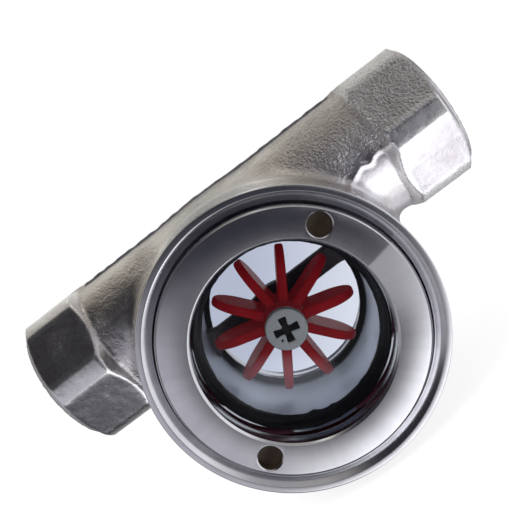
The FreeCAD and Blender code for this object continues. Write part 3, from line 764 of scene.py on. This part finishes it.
# bridge bar and its boss, cast with the body
def bridge_field(P):
    x, y, z = P[:, 0] - CX, P[:, 1], P[:, 2] - CZ
    q = np.hypot(x, z)
    qp = np.hypot(P[:, 0] - PX, z)
    flare = 0.9 * np.clip((q - 15.0) / 2.5, 0, 1) ** 2
    bx = np.abs(z - 3.2) - (2.4 + flare)
    by = np.abs(y - 9.7) - 1.3
    bar = np.maximum(smax(bx, by, 0.5), q - 17.9)
    boss = smax(qp - 6.2, np.abs(y - 10.15) - 1.75, 0.5)
    solid = smin(bar, boss, 1.0)
    solid = np.maximum(solid, 8.4 - y)
    solid = np.maximum(solid, np.where(q > 15.9, y - 11.0, y - 11.95))
    hole = qp - 2.0
    return np.maximum(solid, -hole)


V, Q, N = surface_nets(bridge_field, (CX - 18.6, 7.6, CZ - 7.6), (CX + 18.6, 12.6, CZ + 8.2), 0.22)
V = V + N * (fbm(V / 1.4, 41, 2) * 0.05)[:, None]
bridge = make("bridge_bar", V, Q)
for nm, val in (("upward_painted_reflection", 0.0), ("grain", 0.5), ("onhex", 0.0)):
    a = bridge.data.attributes.new(nm, "FLOAT", "POINT")
    a.data.foreach_set("value", np.full(len(V), val, np.float32))
# painted shade: the bridge wears the darkened cast steel
dress(bridge, BRIDGE, "housing", "cast_steel")


# threaded sleeves of the two ports: internal G 1/2 thread, 14 per inch
def port(name, end):
    pitch, minor, depth = 25.4 / 14, 9.316, 1.162
    xs = np.arange(0.15, 14.0, pitch / 13)
    segs = 120
    th = np.arange(segs) * 2 * math.pi / segs
    rows = []
    for x in xs:
        ph = ((x / pitch) - th / (2 * math.pi)) % 1.0
        tri = 1 - np.abs(ph * 2 - 1)
        tri = step(0.08, 0.92, tri) * 0.5 + 0.5 * np.clip((tri - 0.1) / 0.8, 0, 1)
        fade = step(13.3, 12.2, np.array([x]))[0]
        r = minor + depth * tri * fade
        lead = 9.95 - max(0.0, x - 0.0) * 0.8
        rows.append((np.full(segs, x), np.maximum(r, lead)))
    for x, r in ((14.0, 9.3), (15.3, 8.05), (15.3, 11.1), (0.4, 11.1), (0.4, 11.6), (-0.012, 11.85), (-0.012, 10.0)):
        rows.append((np.full(segs, x), np.full(segs, r)))
    m = len(rows)
    V = []
    for x, r in rows:
        X = x if end == 0 else L - x
        t = th if end == 0 else -th
        V.append(np.stack([X, r * np.cos(t), r * np.sin(t)], 1))
    V = np.concatenate(V)
    faces = []
    for j in range(m):
        k = (j + 1) % m
        for i in range(segs):
            n = (i + 1) % segs
            faces.append((j * segs + i, j * segs + n, k * segs + n, k * segs + i))
    o = make(name, V, faces, sharp=42)
    bm_flip(o)
    return o


def bm_flip(o):
    """Makes every face of a closed mesh point outwards."""
    import bmesh
    bm = bmesh.new()
    bm.from_mesh(o.data)
    bmesh.ops.recalc_face_normals(bm, faces=bm.faces)
    bm.to_mesh(o.data)
    bm.free()


for nm, end in (("inlet_port_thread", 0), ("outlet_port_thread", 1)):
    dress(port(nm, end), PORT, "housing", "cast_steel")


# ------------------------------------------------------------------ window stacks
HOLE = math.radians(41.3)
for side, s in (("front", -1.0), ("rear", 1.0)):
    ring = revolve(side + "_ring", rounded([
        (17.9 * s, 17.5, 0.1), (17.9 * s, 23.35, 0.1), (18.3 * s, 23.48, 0), (20.72 * s, 23.48, 0.06),
        (21.2 * s, 23.02, 0.10), (21.2 * s, 17.9, 0.08), (20.78 * s, 17.5, 0.08)]), segs=240)
    cutters = []
    for k in (0, 1):
        hx = CX + 20.5 * math.cos(HOLE + k * math.pi)
        hz = CZ + 20.5 * math.sin(HOLE + k * math.pi)
        prof = [(21.6, 2.75), (21.27, 2.42), (21.0, 2.14), (19.1, 2.1), (18.5, 0.0)]
        Vc, Fc = [], []
        segs = 48
        for yy, rr in prof[:-1]:
            for i in range(segs):
                t = 2 * math.pi * i / segs
                Vc.append((hx + rr * math.cos(t), yy * s, hz + rr * math.sin(t)))
        Vc.append((hx, prof[-1][0] * s, hz))
        for j in range(len(prof) - 2):
            for i in range(segs):
                n = (i + 1) % segs
                Fc.append((j * segs + i, j * segs + n, (j + 1) * segs + n, (j + 1) * segs + i))
        j = (len(prof) - 2) * segs
        for i in range(segs):
            Fc.append((j + i, j + (i + 1) % segs, len(Vc) - 1))
        Fc.append(tuple(range(segs))[::-1])
        c = make(side + "_spanner_cut_%d" % k, Vc, Fc, smooth=False)
        bm_flip(c)
        cutters.append(c)
    cut(ring, cutters)
    dress(ring, TURNED, "housing", "turned_steel", side + "_retaining_ring")
    ring.data.materials.append(HOLE_DARK)
    for poly in ring.data.polygons:
        c = poly.center / MM
        for k in (0, 1):
            d = math.hypot(c[0] - CX - 20.5 * math.cos(HOLE + k * math.pi), c[2] - CZ - 20.5 * math.sin(HOLE + k * math.pi))
            if d < 2.18 and abs(c[1]) < 21.05:
                poly.material_index = 1

    g0, g1 = (10.3, 14.3) if s < 0 else (12.3, 16.3)   # glass
    pr = revolve(side + "_pressure", rounded([
        (g1 * s, 17.52, 0.10), (g1 * s, 21.7, 0.1), (17.9 * s, 21.7, 0.1), (17.9 * s, 17.52, 0.10)]), segs=200)
    dress(pr, POLISHED, "housing", "turned_steel", side + "_pressure_ring")

    gl = revolve_disc(side + "_window", [
        (g1 * s, 0.0), (g1 * s, 21.55), ((g1 - 0.35) * s, 21.9), ((g0 + 0.35) * s, 21.9), (g0 * s, 21.55), (g0 * s, 0.0)],
        segs=160, sharp=25)
    bm_flip(gl)
    dress(gl, GLASS, "housing", "window_glass", side + "_glass")

    seed = 5 if s < 0 else 9

    def squeeze(T, Y, R, s=s, seed=seed):
        w = np.clip((18.6 - R) / 2.3, 0, 1)
        p = np.stack([np.cos(T) * 6, np.sin(T) * 6, np.zeros_like(T)], -1).reshape(-1, 3)
        n = (noise3(p, seed) * 0.08 + noise3(p * 3.1, seed + 1) * 0.05 + noise3(p * 8.3, seed + 2) * 0.025).reshape(T.shape)
        lump = np.exp(-(((T - 4.33) / 0.055) ** 2)) * 0.42 + np.exp(-(((T - 4.56) / 0.03) ** 2)) * 0.22
        return Y, R - w * (n + (lump if s < 0 else 0.0))

    ga = revolve(side + "_seal", rounded([
        ((g0 - 1.18) * s, 16.35, 0.35), ((g0 - 1.18) * s, 21.9, 0.1), ((g0 - 0.02) * s, 21.9, 0.1),
        ((g0 - 0.02) * s, 16.3, 0.3)]),
        segs=320, shift=squeeze, sharp=50)
    dress(ga, RUBBER, "housing", "black_rubber", side + "_gasket")

# ------------------------------------------------------------------ impeller
def impeller_field(P):
    x, y, z = P[:, 0] - PX, P[:, 1], P[:, 2] - CZ
    q = np.hypot(x, z)
    a = np.arctan2(z, x) - math.radians(BLADE_PHASE)
    w = math.radians(36.0)
    a = a - w * np.round(a / w)
    u, t = q * np.cos(a), q * np.sin(a)
    # tongue with a full round end, in the plane through the axis
    du = u - np.clip(u, 0.0, 9.8)
    d2 = np.hypot(du, y - 2.8) - 5.2
    r = 0.5
    thick = 0.95 - 0.10 * np.clip((u - 6) / 9.0, 0, 1)
    q1, q2 = d2 + r, np.abs(t) - thick + r
    blade = np.minimum(np.maximum(q1, q2), 0) + np.hypot(np.maximum(q1, 0), np.maximum(q2, 0)) - r
    hub = smax(q - 4.1, np.abs(y - 1.25) - 6.55, 0.4)
    return np.maximum(smin(blade, hub, 0.7), 3.3 - q)


V, Q, N = surface_nets(impeller_field, (PX - 15.6, -6.0, CZ - 15.6), (PX + 15.6, 8.6, CZ + 15.6), 0.21)
imp = make("rotor_wheel", V, Q)
dress(imp, RED, "rotor", "red_plastic", "impeller")

bush = revolve("rotor_bush", rounded([(-5.35, 2.66, 0.15), (7.8, 2.66, 0.15), (7.8, 3.32, 0.1), (-5.35, 3.32, 0.1)]), segs=64, cx=PX)
dress(bush, BUSH, "rotor", "bush_polymer", "impeller_bush")

sleeve = revolve("spindle_sleeve", rounded([(-5.9, 2.05, 0.1), (8.4, 2.05, 0.1), (8.4, 2.58, 0.1), (-5.9, 2.58, 0.1)]), segs=64, cx=PX)
dress(sleeve, POLISHED, "housing", "turned_steel", "pivot_sleeve")
for nm, node, y0, y1, ro in (("front_thrust", "front_thrust_washer", -5.9, -5.4, 3.7),
                             ("rear_thrust", "rear_thrust_washer", 7.9, 8.4, 3.4)):
    o = revolve(nm, rounded([(y0, 2.66, 0.08), (y1, 2.66, 0.08), (y1, ro, 0.12), (y0, ro, 0.12)]), segs=72, cx=PX)
    dress(o, PTFE, "housing", "ptfe", node)


# ------------------------------------------------------------------ pivot screw
def screw_field(P):
    x, y, z = P[:, 0] - PX, P[:, 1], P[:, 2] - CZ
    q = np.hypot(x, z)
    head = smax(q - 4.05, -(y + 7.9) - 0.03 * np.clip(1 - (q / 4.0) ** 2, 0, 1), 0.30)
    head = smax(head, y + 5.9, 0.1)
    shank = np.maximum(q - 1.97, y - 11.8)
    shank = np.maximum(shank, -6.2 - y)
    body = np.minimum(head, shank)
    a = math.radians(-13.0)
    u = x * math.cos(a) + z * math.sin(a)
    v = -x * math.sin(a) + z * math.cos(a)
    dep = np.clip((y + 7.9) / 1.5, -0.2, 1.0)
    w, sp = 0.60 - 0.14 * dep, 2.50 - 0.85 * dep
    arm1 = smax(np.abs(u) - w - 0.14 * np.clip(np.abs(v) - 1.0, 0, 1), np.abs(v) - sp, 0.15)
    arm2 = smax(np.abs(v) - w - 0.14 * np.clip(np.abs(u) - 1.0, 0, 1), np.abs(u) - sp, 0.15)
    cross = smin(arm1, arm2, 0.40)
    cross = np.maximum(cross, y + 6.3)
    dot = np.sqrt((u + 1.55) ** 2 + (v + 1.6) ** 2 + ((y + 7.9) * 1.2) ** 2) - 0.26
    body = smax(body, -cross, 0.12)
    return smax(body, -dot, 0.08)


V, Q, N = surface_nets(screw_field, (PX - 4.4, -8.3, CZ - 4.4), (PX + 4.4, 12.1, CZ + 4.4), 0.105)
screw = make("pivot_screw_head", V, Q)
dress(screw, SCREW, "housing", "screw_steel", "pivot_screw")
# painted shade: the faces of the cross recess take the near-black recess steel
screw.data.materials.append(RECESS_PAINTED_SHADE)
ca, sa = math.cos(math.radians(-13.0)), math.sin(math.radians(-13.0))
for poly in screw.data.polygons:
    c = poly.center / MM
    if -7.78 < c[1] < -6.1 and math.hypot(c[0] - PX, c[2] - CZ) < 2.9:
        poly.material_index = 1


# ------------------------------------------------------------------ stage, light and camera
def floor_material():
    m = Nodes("pale_floor")
    p = m.mm()
    n = m.noise(p, 0.01, 2.0)
    lp = m.add("ShaderNodeLightPath")
    geo = m.add("ShaderNodeNewGeometry")
    d = m.add("ShaderNodeBsdfDiffuse", inputs={"Color": m.mix(n, rgb(0.22, 0.22, 0.22), rgb(0.23, 0.23, 0.23))})
    e = m.add("ShaderNodeEmission", inputs={"Color": rgb(1, 1, 1), "Strength": 0.86})
    a = m.add("ShaderNodeAddShader", inputs={0: d.outputs[0], 1: e.outputs[0]})
    dot = m.add("ShaderNodeVectorMath", operation="DOT_PRODUCT", inputs={0: geo.outputs["Incoming"]})
    dot.inputs[1].default_value = (-0.80, 0.0, 0.60)
    mr = m.add("ShaderNodeMapRange", interpolation_type="SMOOTHSTEP", inputs={
        "Value": dot.outputs["Value"], "From Min": -0.04, "From Max": 0.24, "To Min": 0.0, "To Max": 1.0})
    t = m.add("ShaderNodeEmission", inputs={"Color": m.mix(mr.outputs[0], rgb(0.60, 0.625, 0.71), rgb(1.0, 1.0, 1.02)),
                                            "Strength": 1.0})
    mix = m.add("ShaderNodeMixShader", inputs={0: lp.outputs["Is Transmission Ray"], 1: a.outputs[0], 2: t.outputs[0]})
    return m.out(mix.outputs[0])


half = 3000.0
floor = make("studio_floor", [(-half, -half, -45.32), (half, -half, -45.32), (half, half, -45.32), (-half, half, -45.32)],
             [(0, 1, 2, 3)], smooth=False)
floor.data.materials.append(floor_material())
floor.visible_glossy = False

w = Nodes("studio_world", world=True)
tc = w.add("ShaderNodeTexCoord")
lp = w.add("ShaderNodeLightPath")
# what polished metal sees: soft panels painted one over another, by direction
PANELS = [  # direction, colour, inner and outer half angle in degrees
    ((0.0, 0.3, 1.0), (0.38, 0.355, 0.32), 20, 75),
    ((0.0, 1.0, 0.45), (0.86, 0.86, 0.82), 18, 50),
    ((0.21, -0.44, -0.87), (1.85, 1.85, 1.92), 23, 50),
    ((0.06, -0.98, 0.14), (0.026, 0.026, 0.038), 15, 36),
    ((-0.50, -0.84, -0.22), (0.55, 0.54, 0.60), 8, 22),
    ((0.30, -0.95, 0.02), (0.36, 0.36, 0.38), 4, 11),
    ((-0.42, -0.47, 0.78), (0.022, 0.021, 0.026), 20, 42),
    ((-0.47, -0.33, -0.82), (0.10, 0.10, 0.115), 13, 30),
    ((-0.42, 0.30, -0.86), (0.02, 0.02, 0.025), 12, 28),
    ((-0.04, 1.0, 0.20), (0.05, 0.055, 0.075), 12, 20),
    ((0.95, -0.22, -0.16), (0.95, 0.95, 0.98), 20, 40),
    ((0.66, 0.0, -0.75), (0.95, 0.95, 0.98), 18, 34),
    ((0.10, 0.26, -0.96), (0.90, 0.90, 0.93), 12, 24),
    ((0.35, 0.10, 0.93), (1.5, 1.5, 1.5), 4, 10),
    ((0.30, -0.30, 0.90), (1.1, 1.1, 1.0), 3, 7),
    ((-0.20, 0.45, 0.87), (1.2, 1.15, 1.05), 3, 8),
]
col = w.add("ShaderNodeRGB")
col.outputs[0].default_value = rgb(0.40, 0.395, 0.41)
cur = col.outputs[0]
for d, c, a0, a1 in PANELS:
    v = Vector(d).normalized()
    dot = w.add("ShaderNodeVectorMath", operation="DOT_PRODUCT", inputs={0: tc.outputs["Generated"]})
    dot.inputs[1].default_value = v
    mr = w.add("ShaderNodeMapRange", interpolation_type="SMOOTHSTEP", inputs={
        "Value": dot.outputs["Value"], "From Min": math.cos(math.radians(a1)),
        "From Max": math.cos(math.radians(a0)), "To Min": 0.0, "To Max": 1.0})
    cur = w.mix(mr.outputs[0], cur, rgb(*c))
sharp_bg = w.add("ShaderNodeBackground", inputs={"Color": cur, "Strength": 1.0})
white_bg = w.add("ShaderNodeBackground", inputs={"Color": rgb(1, 1, 1), "Strength": 1.0})
tdot = w.add("ShaderNodeVectorMath", operation="DOT_PRODUCT", inputs={0: tc.outputs["Generated"]})
tdot.inputs[1].default_value = (0.80, 0.0, -0.60)
tmr = w.add("ShaderNodeMapRange", interpolation_type="SMOOTHSTEP", inputs={
    "Value": tdot.outputs["Value"], "From Min": -0.10, "From Max": 0.22, "To Min": 0.0, "To Max": 1.0})
tcol = w.mix(tmr.outputs[0], rgb(0.66, 0.67, 0.74), rgb(1.0, 1.0, 1.03))
through_bg = w.add("ShaderNodeBackground", inputs={"Color": tcol, "Strength": 1.0})
soft_bg = w.add("ShaderNodeBackground", inputs={"Color": rgb(0.98, 0.98, 1.0), "Strength": 0.8})
mix1 = w.add("ShaderNodeMixShader", inputs={0: lp.outputs["Is Glossy Ray"], 1: soft_bg.outputs[0], 2: sharp_bg.outputs[0]})
mix2 = w.add("ShaderNodeMixShader", inputs={0: lp.outputs["Is Transmission Ray"], 1: mix1.outputs[0], 2: through_bg.outputs[0]})
mix3 = w.add("ShaderNodeMixShader", inputs={0: lp.outputs["Is Camera Ray"], 1: mix2.outputs[0], 2: white_bg.outputs[0]})
wo = w.add("ShaderNodeOutputWorld")
w.t.links.new(mix3.outputs[0], wo.inputs["Surface"])
bpy.context.scene.world = w.owner


def area(name, loc, target, size, power, color=(1, 1, 1)):
    li = bpy.data.lights.new(name, "AREA")
    li.size, li.energy, li.color = size, power, color
    o = bpy.data.objects.new(name, li)
    o.visible_glossy = False
    o.visible_transmission = False
    bpy.context.scene.collection.objects.link(o)
    o.location = loc
    o.rotation_euler = (Vector(target) - Vector(loc)).to_track_quat("-Z", "Y").to_euler()
    return o


target = (0.042, 0.0, -0.012)
area("key_soft", (-0.10, -0.28, 0.30), target, 0.16, 1.1)
area("fill_soft", (0.28, -0.20, 0.02), target, 0.20, 0.35, (0.97, 0.98, 1.0))

# camera: solved from the object's own outline
rv = np.array([1.6443, -0.4948, -0.5485])
tv = np.array([-2.8407, -2.7524, 124.0855])
focal_px = 628.58
th = float(np.linalg.norm(rv))
k = rv / th
K = np.array([[0, -k[2], k[1]], [k[2], 0, -k[0]], [-k[1], k[0], 0]])
R = np.eye(3) + math.sin(th) * K + (1 - math.cos(th)) * (K @ K)
loc = -R.T @ tv + np.array([44.0, 0, 0])
cam_data = bpy.data.cameras.new("camera")
cam_data.sensor_width = 36.0
cam_data.lens = focal_px * 36.0 / 520.0
cam_data.clip_start, cam_data.clip_end = 0.005, 20.0
cam = bpy.data.objects.new("camera", cam_data)
bpy.context.scene.collection.objects.link(cam)
M = Matrix.Identity(4)
for i in range(3):
    M[i][0], M[i][1], M[i][2], M[i][3] = R[0][i], -R[1][i], -R[2][i], loc[i] * MM
cam.matrix_world = M
bpy.context.scene.camera = cam

sc = bpy.context.scene
sc.view_settings.view_transform = "Standard"
sc.view_settings.look = "None"
sc.view_settings.exposure = 0.0
sc.cycles.use_denoising = True
sc.cycles.max_bounces = 12
sc.cycles.glossy_bounces = 5
sc.cycles.transmission_bounces = 10
sc.cycles.transparent_max_bounces = 12
sc.cycles.caustics_reflective = False
sc.cycles.caustics_refractive = False
sc.cycles.sample_clamp_indirect = 4.0
